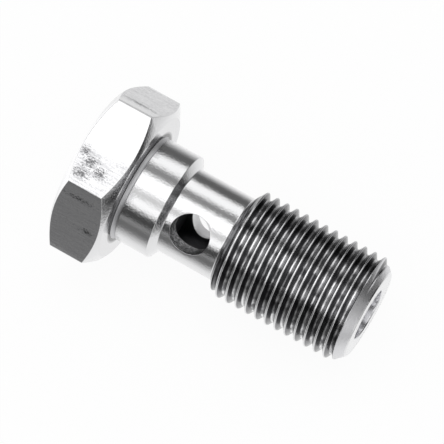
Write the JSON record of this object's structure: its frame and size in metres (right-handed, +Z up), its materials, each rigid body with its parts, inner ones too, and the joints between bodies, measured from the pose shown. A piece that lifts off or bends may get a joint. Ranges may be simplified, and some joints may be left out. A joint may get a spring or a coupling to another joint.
{
  "type": "banjo bolt",
  "caption": "Hollow hexagon head bolt with a collar, a thinner neck with a cross hole and a fine thread, for clamping a banjo fitting.",
  "frame": {"origin": "on the ground plane that the bolt lies on, midway along its length and under its axis", "axes": "+X from the head towards the thread end, level; the bolt's own axis dips 5.8 degrees below it, because the hexagon is wider than the thread; +Z up"},
  "size_m": [0.0316, 0.0184, 0.0163],
  "materials": {
    "turned_stainless_steel": "bright turned stainless steel, fine lathe marks round the shank"
  },
  "bodies": {
    "root": {"bolt": "turned_stainless_steel"}
  },
  "joints": []
}
